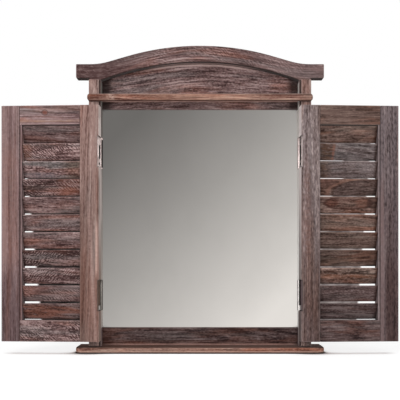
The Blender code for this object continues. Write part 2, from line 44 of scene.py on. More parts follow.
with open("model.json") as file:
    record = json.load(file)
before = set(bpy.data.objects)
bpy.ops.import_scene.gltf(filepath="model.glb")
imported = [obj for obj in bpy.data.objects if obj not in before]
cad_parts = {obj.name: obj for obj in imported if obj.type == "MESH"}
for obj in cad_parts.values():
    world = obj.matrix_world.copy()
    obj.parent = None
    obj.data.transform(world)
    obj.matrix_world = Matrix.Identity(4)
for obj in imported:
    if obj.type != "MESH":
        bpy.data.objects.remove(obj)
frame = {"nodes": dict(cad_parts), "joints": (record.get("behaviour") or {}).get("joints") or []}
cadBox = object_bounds()
nodes = frame["nodes"]
sides = {"left": -1, "right": 1}
pivots = {}
for joint in frame["joints"]:
    pivots[joint["child"].split("_")[0]] = Vector(joint["pos_m"])
openTurn = math.radians(3)  # how far past flat the shutters stand
print("frame loaded:", len(nodes), "nodes")


# Node helpers

def linear(red, green, blue):
    # Screen values 0 to 255 as the linear colour that a node takes
    values = np.array([red, green, blue]) / 255
    curve = np.where(values <= 0.04045, values / 12.92, ((values + 0.055) / 1.055) ** 2.4)
    return (*curve.tolist(), 1.0)


def scaled(colour, share):
    # A screen colour made lighter or darker
    return (*(min(1.0, share * part) for part in linear(*colour)[:3]), 1.0)


def feed(tree, sockets, values):
    # Links each named socket to another one, or gives it a plain value
    for key, value in values.items():
        if isinstance(value, bpy.types.NodeSocket):
            tree.links.new(value, sockets[key])
        else:
            sockets[key].default_value = value


def put(tree, kind, inputs=None, **settings):
    node = tree.nodes.new("ShaderNode" + kind)
    for name, value in settings.items():
        setattr(node, name, value)
    feed(tree, node.inputs, inputs or {})
    return node


def calc(tree, operation, first, second=0.0):
    return put(tree, "Math", {0: first, 1: second}, operation=operation).outputs[0]


def times(tree, first, second):
    return calc(tree, "MULTIPLY", first, second)


def plus(tree, first, second):
    return calc(tree, "ADD", first, second)


def minus(tree, first, second):
    return calc(tree, "SUBTRACT", first, second)


def vectorCalc(tree, operation, first, second=(0.0, 0.0, 0.0)):
    node = put(tree, "VectorMath", {0: first, 1: second}, operation=operation)
    return node.outputs["Value" if operation in ("LENGTH", "DOT_PRODUCT") else "Vector"]


def ramp(tree, value, start, end, low=0.0, high=1.0):
    # Smooth step from low to high while the value goes from start to end
    return put(tree, "MapRange", {0: value, 1: start, 2: end, 3: low, 4: high},
               interpolation_type="SMOOTHSTEP").outputs[0]


def noise(tree, point, scale, detail=2.0, roughness=0.5, shift=(0.0, 0.0, 0.0)):
    # Soft noise, with its own number of waves per metre along each axis
    stretched = vectorCalc(tree, "MULTIPLY", point, scale)
    moved = vectorCalc(tree, "ADD", stretched, shift)
    return put(tree, "TexNoise", {"Vector": moved, "Scale": 1.0, "Detail": detail,
                                  "Roughness": roughness}).outputs[0]


def mix(tree, factor, first, second, blend="MIX"):
    node = put(tree, "Mix", {0: factor, 6: first, 7: second}, data_type="RGBA", blend_type=blend,
               clamp_factor=True)
    return node.outputs[2]


def split(tree, vector):
    return put(tree, "SeparateXYZ", {0: vector}).outputs


def bump(tree, strength, distance, height):
    return put(tree, "Bump", {"Strength": strength, "Distance": distance, "Height": height}).outputs[0]


def openness(tree, reach, samples=8):
    # 1 in the open, less where surfaces within reach close a place in
    return put(tree, "AmbientOcclusion", {"Distance": reach}, samples=samples).outputs["AO"]


def addObject(name, data):
    item = bpy.data.objects.new(name, data)
    bpy.context.scene.collection.objects.link(item)
    return item


def dress(name, material):
    nodes[name].material_slots[0].material = material


def newMaterial(name):
    # A material, its tree, the inputs of its surface and the place on the object
    material = bpy.data.materials.new(name)
    material.use_nodes = True
    tree = material.node_tree
    skin = tree.nodes["Principled BSDF"].inputs
    return material, tree, skin, put(tree, "TexCoord").outputs["Object"]


def startGroup(name, inputs, outputs):
    # A node group whose sockets have these start values: a number, a vector or a colour with alpha
    group = bpy.data.node_groups.new(name, "ShaderNodeTree")
    for way, sockets in (("INPUT", inputs), ("OUTPUT", outputs)):
        for title, start in sockets.items():
            kind = {1: "Float", 3: "Vector", 4: "Color"}[np.size(start)]
            socket = group.interface.new_socket(name=title, in_out=way, socket_type="NodeSocket" + kind)
            socket.default_value = start
    return group, group.nodes.new("NodeGroupInput").outputs, group.nodes.new("NodeGroupOutput").inputs


def useGroup(tree, group, inputs):
    node = tree.nodes.new("ShaderNodeGroup")
    node.node_tree = group
    feed(tree, node.inputs, inputs)
    return node.outputs


# Stained grain: rings round a pith line, streaks, fibres, dark pores and worn flecks, all along x
# of the point it is given; y and z are the depth into the board and the way across it.
toneParts = ("Dark", "Middle", "Light", "Red", "Grey")
grey = (0.5, 0.5, 0.5, 1)
grainSettings = {
    "Point": (0, 0, 0), "Log Point": (0, 0, 0), **dict.fromkeys(toneParts, grey), "Contrast": 1.0,
    "Rings": 0.3, "Ring Spacing": 0.0034, "Streaks": 0.5, "Fibres": 0.5, "Grit": 0.25, "Bands": 0.35,
    "Ripple": 0.0, "Ripple Waves": (190, 0, 220), "Red Share": 0.45, "Grey Share": 0.45,
    "Wander": 0.005, "Pores": 0.7, "Flecks": 0.5}


def makeGrain():
    group, given, out = startGroup("stainedGrain", grainSettings,
                                   {"Color": grey, "Height": 0.0, "Roughness": 0.5})
    point, logPoint = given["Point"], given["Log Point"]
    # The grain wanders a little off the straight, in long bends and in small ones
    wander = 0.0
    for scale, size in (((5, 16, 16), 2.0), ((45, 70, 70), 0.22)):
        sway = put(group, "TexNoise", {"Vector": vectorCalc(group, "MULTIPLY", logPoint, scale),
                                       "Scale": 1.0, "Detail": 2.0}).outputs[1]
        sway = vectorCalc(group, "MULTIPLY", vectorCalc(group, "SUBTRACT", sway, (0.5, 0.5, 0.5)),
                          (0, size, size))
        wander = sway if wander == 0.0 else vectorCalc(group, "ADD", wander, sway)
    wander = put(group, "VectorMath", {0: wander, "Scale": given["Wander"]}, operation="SCALE").outputs[0]
    bent = vectorCalc(group, "ADD", logPoint, wander)
    # Rings: distance from the pith line over the spacing, with a dark line of late wood in each
    across = vectorCalc(group, "LENGTH", vectorCalc(group, "MULTIPLY", bent, (0.03, 1, 1)))
    turns = calc(group, "DIVIDE", across, given["Ring Spacing"])
    turns = plus(group, turns, times(group, noise(group, bent, (4, 40, 40)), 1.6))
    turns = plus(group, turns, times(group, noise(group, bent, (90, 260, 260)), 0.7))
    phase = calc(group, "FRACT", turns)
    late = times(group, ramp(group, phase, 0.35, 0.75), ramp(group, phase, 0.8, 1.0, 1, 0))
    streak = noise(group, bent, (17, 235, 235), 4.0, 0.6)
    fibre = noise(group, bent, (16, 470, 470), 2.0, 0.55, (3.1, 0, 0))
    grit = noise(group, bent, (260, 420, 420), 2.0, 0.55, (0, 7, 3))
    band = noise(group, bent, (2.4, 26, 26), 2.0, 0.5, (0, 9.2, 0))
    # Ripple figure: small waves that run slantwise over the board, in patches
    waves = plus(group, vectorCalc(group, "DOT_PRODUCT", point, given["Ripple Waves"]),
                 times(group, noise(group, point, (75, 110, 110), 3.0), 3.4))
    ripple = calc(group, "SINE", times(group, waves, math.tau))
    patches = noise(group, point, (22, 40, 60), 1.0, 0.5, (0, 0, 4))
    ripple = times(group, ripple, ramp(group, patches, 0.4, 0.6))
    value = 0.5
    for source, weight in ((streak, "Streaks"), (fibre, "Fibres"), (grit, "Grit"), (band, "Bands")):
        part = times(group, minus(group, source, 0.5), given[weight])
        value = plus(group, times(group, part, 2.6), value)
    value = minus(group, value, times(group, minus(group, late, 0.3), given["Rings"]))
    value = plus(group, value, times(group, times(group, ripple, 0.4), given["Ripple"]))
    value = plus(group, times(group, minus(group, value, 0.5), given["Contrast"]), 0.5)
    colour = mix(group, ramp(group, value, 0.05, 0.52), given["Dark"], given["Middle"])
    colour = mix(group, ramp(group, value, 0.48, 1.0), colour, given["Light"])
    # Stain taken up unevenly: reddish and greyish patches keep the light and dark of the grain
    lightness = ramp(group, value, 0.0, 1.0, 0.45, 1.4)
    for name, shift, scale in (("Red", (0, 0, 21), (9, 60, 60)), ("Grey", (0, 0, 47), (7, 70, 70))):
        patch = ramp(group, noise(group, bent, scale, 2.0, 0.55, shift), 0.48, 0.66)
        patch = times(group, patch, given[name + " Share"])
        tinted = put(group, "VectorMath", {0: given[name], "Scale": lightness},
                     operation="SCALE").outputs[0]
        colour = mix(group, patch, colour, tinted)
    pores = ramp(group, noise(group, bent, (30, 460, 460), 3.0, 0.6, (8, 0, 0)), 0.56, 0.68)
    colour = mix(group, times(group, pores, given["Pores"]), colour, given["Dark"])
    flecks = ramp(group, noise(group, bent, (110, 560, 560), 2.0, 0.6, (0, 5, 0)), 0.58, 0.72)
    colour = mix(group, times(group, flecks, given["Flecks"]), colour, given["Light"])
    height = minus(group, plus(group, times(group, streak, 0.6), times(group, fibre, 0.4)),
                   times(group, pores, 0.5))
    height = minus(group, height, times(group, late, 0.2))
    rough = ramp(group, value, 0.0, 1.0, 0.76, 0.58)
    feed(group, out, {"Color": colour, "Height": height, "Roughness": rough})
    return group


# Worn and lit arrises: the second smallest distance to the faces of the board's box is the distance to
# its nearest edge; the mask fades over Width and is broken up by noise. The lighter edges it gives
# stand for wear and are also a painted highlight of edges catching the light.

def makeWearAndHighlight():
    group, given, out = startGroup("wornAndLitArris", {
        "Point": (0, 0, 0), "Low": (0, 0, 0), "High": (0, 0, 0), "Width": 0.0015, "Broken": 0.55},
        {"Mask": 0.0})
    below = vectorCalc(group, "SUBTRACT", given["Point"], given["Low"])
    above = vectorCalc(group, "SUBTRACT", given["High"], given["Point"])
    near = split(group, vectorCalc(group, "MINIMUM", below, above))
    total = plus(group, plus(group, near[0], near[1]), near[2])
    most = calc(group, "MAXIMUM", calc(group, "MAXIMUM", near[0], near[1]), near[2])
    least = calc(group, "MINIMUM", calc(group, "MINIMUM", near[0], near[1]), near[2])
    edge = minus(group, total, plus(group, most, least))
    mask = ramp(group, calc(group, "DIVIDE", edge, given["Width"]), 0.25, 1.0, 1, 0)
    rubbed = ramp(group, noise(group, given["Point"], (45, 260, 260), 3.0), 0.4, 0.6)
    keep = plus(group, times(group, rubbed, given["Broken"]), minus(group, 1.0, given["Broken"]))
    feed(group, out, {"Mask": times(group, mask, keep)})
    return group


grainGroup = makeGrain()
wearAndHighlightGroup = makeWearAndHighlight()

# Stain tones: screen colours for the tone parts, in their order
tones = {
    "rose": ((92, 64, 58), (142, 115, 108), (184, 158, 150), (160, 104, 86), (136, 126, 122)),
    "plum": ((82, 58, 58), (130, 104, 102), (168, 144, 144), (146, 96, 80), (116, 108, 106)),
    "slate": ((62, 52, 52), (104, 91, 92), (136, 122, 122), (118, 94, 88), (98, 90, 94)),
    "ash": ((62, 50, 48), (104, 91, 90), (150, 137, 135), (118, 90, 78), (104, 98, 98)),
    "cocoa": ((52, 36, 30), (104, 82, 75), (148, 124, 114), (124, 80, 62), (98, 88, 81)),
    "umber": ((58, 39, 38), (110, 86, 84), (157, 134, 131), (134, 84, 68), (102, 95, 94)),
    "smoke": ((42, 28, 28), (88, 69, 67), (130, 112, 110), (114, 70, 55), (86, 79, 77)),
    "chestnut": ((84, 48, 40), (144, 108, 95), (186, 152, 136), (164, 96, 70), (140, 122, 112)),
}


def boardSpace(name, side=None, upright=False):
    # Turn and shift that lay a board along x, and its corners there.
    # A shutter's board is first turned back by the angle at which the shutter stands open.
    turn = 0.0 if side is None else -sides[side] * openTurn
    spin = Matrix.Rotation(turn, 3, "Z")
    shift = Vector((0, 0, 0)) if side is None else -(spin @ pivots[side])
    mesh = nodes[name].data
    points = np.empty(len(mesh.vertices) * 3, np.float32)
    mesh.vertices.foreach_get("co", points)
    points = points.reshape(-1, 3) @ np.array(spin).T + np.array(shift)
    if upright:
        points = points[:, ::-1]
    return turn, shift, points.min(0), points.max(0)


def between(tree, value, low, high, soft):
    # 1 where the value lies between low and high, with soft ends
    return times(tree, ramp(tree, value, low - soft, low + soft),
                 ramp(tree, value, high - soft, high + soft, 1, 0))


def spot(colour, amount, x=None, y=None, z=None, slant=None, **more):
    # A mark on a board: its colour, how much of it and where. Bands along x, y and z are (low, high,
    # soft), a slanted one is (direction, low, high, soft). An oval is (x, z, half width, half height,
    # inner, outer): the ring between two shares of it, with a soft edge and a wobble. Its broken
    # share is missing where noise of that grit is low.
    straight = (((1, 0, 0), x), ((0, 1, 0), y), ((0, 0, 1), z))
    bands = [(way, *band) for way, band in straight if band] + ([slant] if slant else [])
    return {"colour": colour, "amount": amount, "bands": bands, "blend": "MIX", "wobble": 0.5,
            "soft": 0.12, "broken": 0.0, "grit": (90, 300, 300), **more}


def wash(colour, **where):
    # A mark that darkens what lies under it
    return spot(colour, 1.0, blend="MULTIPLY", **where)


def paintedFaceLight(way, colour, amount, **where):
    # Painted light and shade: the faces that look one way, such as "-X", made lighter or darker for the
    # light on them
    return {"way": way, "turn": (0.45, 0.85), **spot(colour, amount, **where)}


def markMask(tree, place, mark):
    # How much of a mark there is at each place
    mask = 1.0
    for direction, low, high, soft in mark["bands"]:
        along = vectorCalc(tree, "DOT_PRODUCT", place, direction)
        mask = times(tree, between(tree, along, low, high, soft), mask)
    if "oval" in mark:
        x, z, halfWidth, halfHeight, inner, outer = mark["oval"]
        offset = vectorCalc(tree, "MULTIPLY", vectorCalc(tree, "SUBTRACT", place, (x, 0, z)),
                            (1 / halfWidth, 0, 1 / halfHeight))
        share = vectorCalc(tree, "LENGTH", offset)
        uneven = minus(tree, noise(tree, place, (120, 120, 300), 2.0), 0.5)
        share = plus(tree, share, times(tree, uneven, mark["wobble"]))
        mask = times(tree, between(tree, share, inner, outer, mark["soft"]), mask)
    broken = mark["broken"]
    if broken:
        rough = ramp(tree, noise(tree, place, mark["grit"], 2.0, 0.6), 0.36, 0.62)
        mask = times(tree, mask, plus(tree, times(tree, rough, broken), 1 - broken))
    return times(tree, mask, mark["amount"])


# What holds for a board that doesn't say otherwise: shade of its tone; its place in the log by pith,
# tilt, along and stretch; wear and painted highlight on its arrises; dirt and painted shade in corners
# that close within reach
boardSettings = {"shade": 1.0, "pith": (0.05, 0.0), "tilt": (0.0, 0.0), "along": 0.0, "stretch": 1.0,
                 "grain": {}, "marks": (), "faces": (), "wearAndHighlight": 0.6, "arrisWidth": 0.0016,
                 "grimeAndShade": 0.8, "reach": 0.009, "relief": 0.5, "shine": 0.14}


def stainBoard(name, settings, side=None, upright=False):
    # One board's own material
    s = {**boardSettings, **settings}
    tone = dict(zip(toneParts, tones[s["tone"]]))
    turn, shift, low, high = boardSpace(name, side, upright)
    material, tree, skin, place = newMaterial(name + "Wood")
    place = put(tree, "Mapping", {"Vector": place, "Rotation": (0, 0, turn), "Location": shift}).outputs[0]
    parts = split(tree, place)
    order = (2, 1, 0) if upright else (0, 1, 2)
    across = parts[order[2]]
    if "bow" in s:
        # The grain follows the arch: across, less rise / 2 * cos(pi * x / halfSpan)
        rise, halfSpan = s["bow"]
        lift = times(tree, calc(tree, "COSINE", times(tree, parts[order[0]], math.pi / halfSpan)), rise / 2)
        across = minus(tree, across, lift)
    straight = put(tree, "CombineXYZ", {0: parts[order[0]], 1: parts[1], 2: across}).outputs[0]
    centre = (low + high) / 2
    shiftInLog = (s["along"] - centre[0], s["pith"][0] - centre[1], s["pith"][1] - centre[2])
    inLog = put(tree, "Mapping", {"Vector": straight, "Location": shiftInLog, "Rotation": (0, *s["tilt"]),
                                  "Scale": (s["stretch"], 1, 1)}).outputs[0]
    colours = {key: scaled(value, s["shade"]) for key, value in tone.items()}
    grain = useGroup(tree, grainGroup, {"Point": straight, "Log Point": inLog, **colours, **s["grain"]})
    flat = put(tree, "CombineXYZ", {0: parts[order[0]], 1: parts[1], 2: parts[order[2]]}).outputs[0]
    wearAndHighlight = useGroup(tree, wearAndHighlightGroup, {"Point": flat, "Low": low.tolist(), "High": high.tolist(),
                                      "Width": s["arrisWidth"]})["Mask"]
    surfaceColour = grain["Color"]
    for mark in s["marks"]:
        surfaceColour = mix(tree, markMask(tree, place, mark), surfaceColour, linear(*mark["colour"]), mark["blend"])
    # Painted light and shade: faces of the board made lighter or darker, picked by the way they look
    normal = put(tree, "TexCoord").outputs["Normal"]
    facing = split(tree, put(tree, "Mapping", {"Vector": normal, "Rotation": (0, 0, turn)}).outputs[0])
    for face in s["faces"]:
        toward = times(tree, facing["XYZ".index(face["way"][1])], -1 if face["way"][0] == "-" else 1)
        toward = times(tree, ramp(tree, toward, *face["turn"]), face["amount"])
        if face["bands"]:
            toward = times(tree, toward, markMask(tree, place, {**face, "amount": 1.0}))
        faceLight = linear(*face["colour"])
        if "top" in face:
            faceLight = mix(tree, ramp(tree, parts[2], *face["heights"]), faceLight, linear(*face["top"]))
        surfaceColour = mix(tree, toward, surfaceColour, faceLight)
    # Lighter arrises: wear, and a painted highlight where the edges catch the light
    surfaceColour = mix(tree, times(tree, wearAndHighlight, s["wearAndHighlight"]), surfaceColour, scaled(tone["Light"], 1.25 * s["shade"]))
    # Dirt and painted shade: the colour darkens in corners that close within reach
    corner = ramp(tree, openness(tree, s["reach"]), 0.25, 0.8, 1, 0)
    surfaceColour = mix(tree, times(tree, corner, s["grimeAndShade"]), surfaceColour, scaled(tone["Dark"], 0.35 * s["shade"]))
    feed(tree, skin, {"Base Color": surfaceColour, "Roughness": grain["Roughness"], "Specular IOR Level": s["shine"],
                      "Normal": bump(tree, s["relief"], 0.0012, grain["Height"])})
    dress(name, material)


# Frame boards, with places in metres of the whole frame
arch = {"rise": 0.032, "halfSpan": 0.1736, "top": -0.0143}
arch["radius"] = (arch["halfSpan"] ** 2 + arch["rise"] ** 2) / (2 * arch["rise"])
archOval = (0, arch["top"] - arch["radius"], arch["radius"], arch["radius"])
softGrain = {"Streaks": 0.45, "Fibres": 0.34, "Grit": 0.26, "Bands": 0.95, "Pores": 0.35, "Flecks": 0.35,
             "Rings": 0.12}
lining = {"tone": "umber", "grimeAndShade": 0.2, "pith": (0.05, 0.03), "wearAndHighlight": 0.3, "arrisWidth": 0.0008}
frameBoards = {
    "crown": {
        "tone": "umber", "shade": 1.32, "reach": 0.003, "bow": (0.03, 0.19), "pith": (0.04, 0.09),
        "along": 0.3,
        # Painted shade on the top and the underside, and a painted highlight along the front of the
        # underside
        "faces": (
            paintedFaceLight("+Z", (84, 66, 62), 0.5),
            paintedFaceLight("-Z", (42, 26, 22), 1.0),
            paintedFaceLight("-Z", (184, 156, 150), 0.85, y=(-0.0236, -0.018, 0.0005), x=(-0.075, 0.095, 0.03))),
        "marks": (
            spot((72, 47, 46), 0.88, x=(-0.3, -0.115, 0.05), broken=0.3),
            spot((140, 118, 116), 0.4, x=(0.105, 0.3, 0.04), broken=0.4),
            # Painted shade: a dark line along the crown's lower edge
            wash((218, 212, 210), x=(-0.11, 0.11, 0.04), oval=(*archOval, 0.99, 1.0085),
                soft=0.003, wobble=0)),
        "grain": {
            "Rings": 0.22, "Ring Spacing": 0.0042, "Bands": 0.4, "Ripple": 0.5,
            "Ripple Waves": (110, 0, 170), "Streaks": 0.6}},
    "frieze_board": {
        "tone": "umber", "shade": 1.18, "reach": 0.002, "bow": (0.012, 0.17), "pith": (0.03, -0.03),
        "tilt": (0.03, 0.03), "along": 1.7, "wearAndHighlight": 0.2,
        "marks": (
            # Painted shadow of the posts on the frieze's ends
            spot((34, 22, 20), 0.85, x=(-0.2, -0.1545, 0.007)),
            spot((34, 22, 20), 0.85, x=(0.1545, 0.2, 0.007)),
            # Painted highlight in a band along the arch, just under the crown
            spot((206, 178, 172), 0.85, x=(-0.085, 0.085, 0.03), oval=(*archOval, 0.9915, 1.0),
                soft=0.0012, wobble=0, broken=0.3),
            # Painted light in the ledge's shade, in a line just under it
            spot((190, 152, 140), 0.85, z=(-0.0808, -0.0788, 0.0006), broken=0.3)),
        "grain": {"Rings": 0.15, "Ring Spacing": 0.0045, "Grit": 0.5, "Streaks": 0.5, "Fibres": 0.75}},
    "ledge_strip": {
        "tone": "chestnut", "shade": 1.14, "pith": (0.06, 0.03), "along": 2.2, "grimeAndShade": 1.0,
        # Painted highlight on the top and painted shade on the underside
        "faces": (paintedFaceLight("+Z", (158, 139, 132), 0.7), paintedFaceLight("-Z", (70, 32, 24), 1.0, turn=(0.7, 0.95))),
        "marks": (
            spot((196, 152, 132), 0.4, x=(-0.085, 0.085, 0.03), broken=0.5),
            spot((206, 176, 162), 0.6, x=(-0.158, -0.146, 0.003), broken=1.0, grit=(260, 260, 420))),
        "grain": {"Rings": 0.12, "Streaks": 0.6, "Fibres": 0.8}},
    "bottom_rail": {
        "tone": "smoke", "shade": 0.94, "pith": (0.04, 0.02), "tilt": (0.0, 0.05), "along": 3.1,
        "grain": {"Rings": 0.2, "Ring Spacing": 0.0045, "Grit": 0.35, "Contrast": 1.2},
        "marks": (
            spot((204, 158, 144), 0.85, z=(-0.506, -0.5015, 0.0008), broken=0.3),
            wash((216, 198, 190), z=(-0.5012, -0.4948, 0.0012)))},
    "shelf": {
        "tone": "chestnut", "shade": 1.2, "pith": (0.05, 0.04), "along": 4.4,
        # Painted shade on the top, darkest in a band near the back, and on the underside
        "faces": (
            paintedFaceLight("+Z", (100, 68, 58), 0.85),
            paintedFaceLight("+Z", (34, 18, 14), 0.95, y=(-0.047, -0.037, 0.003)),
            paintedFaceLight("-Z", (50, 30, 24), 0.8, turn=(0.9, 0.995))),
        "marks": (
            spot((70, 38, 26), 0.3, x=(-0.2, -0.165, 0.006), broken=1.0, grit=(260, 260, 420)),
            # Painted light along the lower front, against its shade
            spot((222, 184, 168), 0.75, z=(-0.515, -0.5104, 0.0006), broken=0.2)),
        "grain": {"Rings": 0.1, "Grit": 0.4, "Streaks": 0.45, "Red Share": 0.6}},
    "left_post": {
        "tone": "rose", "shade": 1.12, "pith": (0.05, 0.03), "along": 5.2, "grain": {"Contrast": 0.8}},
    "right_post": {
        "tone": "rose", "shade": 0.85, "pith": (0.04, -0.03), "along": 6.3,
        "grain": {"Contrast": 1.1, "Red Share": 0.3}},
    "left_lining": {
        **lining, "along": 7.2,
        # Painted shade on the front face; painted light and reflection on the inner face, paler towards the
        # bottom, with a darker and a paler band
        "faces": (
            paintedFaceLight("-Y", (60, 48, 44), 0.9),
            paintedFaceLight("+X", (200, 191, 183), 0.86, z=(-0.4725, -0.05, 0.002), top=(117, 113, 107),
                heights=(-0.47, -0.1)),
            paintedFaceLight("+X", (84, 74, 70), 0.85, z=(-0.155, -0.09, 0.003), y=(-0.04, -0.0205, 0.002)),
            paintedFaceLight("+X", (196, 184, 180), 0.85, z=(-0.29, -0.2, 0.012), y=(-0.04, -0.0215, 0.002)))},
    "right_lining": {
        **lining, "along": 8.2,
        # Painted shade on the front face; painted light and reflection on the inner face, paler towards the
        # bottom, with a darker band at the foot
        "faces": (
            paintedFaceLight("-Y", (60, 48, 44), 0.9),
            paintedFaceLight("-X", (255, 254, 251), 0.9, z=(-0.4725, -0.05, 0.002), top=(202, 196, 190),
                heights=(-0.47, -0.1)),
            paintedFaceLight("-X", (150, 138, 136), 0.9, z=(-0.5, -0.44, 0.008), y=(-0.04, -0.0225, 0.002)))},
}
for name, settings in frameBoards.items():
    stainBoard(name, settings, upright=name.endswith(("post", "lining")))
print("frame boards stained")

# Shutter boards, stiles upright and the rest lying. Places in marks are from the shutter's pivot,
# out along its width and up from the pivot's height.
shutterBoards = {
    ("left", "hinge_stile"): {
        "tone": "rose", "shade": 1.26, "pith": (0.05, 0.05), "along": 1.1, "stretch": 0.55,
        "grain": {**softGrain, "Streaks": 0.36, "Bands": 0.35, "Red Share": 0.3}, "wearAndHighlight": 0.2,
        "tilt": (0.06, 0.0),
        # Painted light on the hinge edge: paler towards the top, with a darker band and a pale band
        "faces": (
            paintedFaceLight("+X", (136, 114, 104), 0.86, top=(218, 205, 201), heights=(-0.12, 0.06)),
            paintedFaceLight("+X", (96, 80, 74), 0.5, z=(0.012, 0.078, 0.01), y=(-0.03, -0.0125, 0.0012)),
            paintedFaceLight("+X", (246, 234, 230), 0.7, z=(0.13, 0.176, 0.008))),
        "marks": (
            wash((226, 224, 222), z=(-0.3, 0.06, 0.06)),
            wash((226, 219, 217), x=(-0.0046, 0.01, 0.0006), z=(0.014, 0.092, 0.008)),
            wash((204, 196, 194), x=(-0.0027, 0.01, 0.0005), z=(0.014, 0.092, 0.008)),
            spot((216, 180, 168), 0.7, x=(-0.0062, -0.0024, 0.0006), z=(-0.086, -0.002, 0.01), broken=0.2),
            wash((222, 214, 210), z=(-0.3, -0.04, 0.06), x=(-0.05, -0.022, 0.008)),
            spot((186, 154, 146), 0.55, slant=((1, 0, 0.055), -0.0185, -0.0135, 0.0022),
                z=(-0.21, 0.03, 0.03), broken=0.5))},
    ("left", "outer_stile"): {
        "tone": "plum", "shade": 1.16, "pith": (0.06, -0.04), "along": 2.9, "stretch": 0.55,
        "grain": {**softGrain, "Bands": 0.3}, "wearAndHighlight": 0.35,
        "marks": (
            wash((206, 206, 210), z=(-0.25, -0.085, 0.035)),
            spot((168, 142, 138), 0.5, z=(-0.08, 0.3, 0.03), x=(-0.18, -0.158, 0.003), broken=0.4),
            wash((218, 212, 212), z=(-0.08, 0.3, 0.03), x=(-0.153, -0.148, 0.0015)),
            spot((150, 108, 96), 0.35, z=(-0.07, 0.13, 0.03), x=(-0.164, -0.14, 0.004), broken=0.5),
            spot((74, 52, 50), 0.7, x=(-0.1365, -0.1335, 0.0008), broken=0.4))},
    ("left", "top_rail"): {
        "tone": "plum", "shade": 1.18, "pith": (0.03, 0.01), "along": 3.7,
        "grain": {"Red Share": 0.6, "Ring Spacing": 0.0045, "Streaks": 0.5, "Fibres": 0.8, "Contrast": 0.8},
        "marks": (
            spot((128, 76, 64), 0.75, oval=(-0.0918, 0.1868, 0.004, 0.0032, -1, 1)),
            spot((82, 50, 44), 0.65, oval=(-0.0918, 0.1868, 0.0056, 0.0044, 0.8, 1.1)),
            spot((164, 128, 104), 0.5, z=(0.1705, 0.1745, 0.001), broken=0.6))},
    ("left", "bottom_rail"): {
        "tone": "umber", "shade": 1.38, "pith": (0.03, 0.01), "tilt": (0, 0.1), "along": 4.5,
        "grain": {"Grit": 0.6, "Ripple": 0.8, "Streaks": 0.6}},
    ("right", "hinge_stile"): {
        "tone": "ash", "shade": 1.8, "wearAndHighlight": 0.2, "pith": (0.05, 0.05), "along": 6.1, "stretch": 0.55,
        "grain": {**softGrain, "Bands": 0.2, "Grit": 0.5},
        "marks": (
            wash((228, 224, 224), z=(-0.3, 0.055, 0.06)),
            wash((216, 208, 206), z=(-0.3, -0.075, 0.06)),
            wash((232, 228, 226), x=(0.018, 0.06, 0.012)),
            spot((136, 96, 84), 0.4, z=(-0.06, 0.1, 0.03), x=(0.005, 0.016, 0.004), broken=0.6),
            wash((212, 205, 205), x=(-0.002, 0.0019, 0.0005), z=(-0.03, 0.12, 0.02)),
            spot((156, 132, 126), 0.45, x=(0.0012, 0.0042, 0.0006), z=(-0.3, -0.05, 0.02), broken=0.3)),
        # Painted light on the hinge edge: paler towards the top, with a darker band
        "faces": (
            paintedFaceLight("-X", (104, 90, 88), 0.87, top=(231, 218, 216), heights=(-0.18, 0.14)),
            paintedFaceLight("-X", (70, 58, 56), 0.44, z=(-0.3, 0.02, 0.06), y=(-0.0095, 0.01, 0.0012)))},
    ("right", "outer_stile"): {
        "tone": "slate", "shade": 1.3, "pith": (0.04, -0.03), "along": 7.9, "stretch": 0.55,
        "grain": {**softGrain, "Bands": 0.25, "Flecks": 0.2, "Pores": 0.3, "Streaks": 0.35, "Grit": 0.5},
        "wearAndHighlight": 0.3,
        "marks": (
            wash((226, 216, 214), z=(-0.3, 0.045, 0.05), x=(0.143, 0.2, 0.004)),
            wash((206, 192, 188), z=(-0.3, -0.05, 0.05), x=(0.143, 0.165, 0.006)),
            spot((130, 106, 104), 0.7, z=(-0.3, 0.07, 0.03), x=(0.1345, 0.1415, 0.0012), broken=0.3),
            spot((176, 156, 152), 0.6, x=(0.1318, 0.133, 0.0006), broken=0.6),
            spot((84, 70, 66), 0.6, x=(0.1332, 0.1344, 0.0006), broken=0.3))},
    ("right", "top_rail"): {
        "tone": "cocoa", "shade": 1.04, "pith": (0.03, 0.01), "along": 8.7,
        "grain": {"Red Share": 0.5, "Ring Spacing": 0.0045, "Bands": 0.1, "Contrast": 0.7}},
    ("right", "bottom_rail"): {
        "tone": "smoke", "shade": 1.06, "pith": (0.03, 0.01), "tilt": (0, 0.1), "along": 9.5,
        "grain": {"Streaks": 0.4}},
}
for (side, board), settings in shutterBoards.items():
    stainBoard(f"{side}_shutter_{board}", settings, side, upright=board.endswith("stile"))

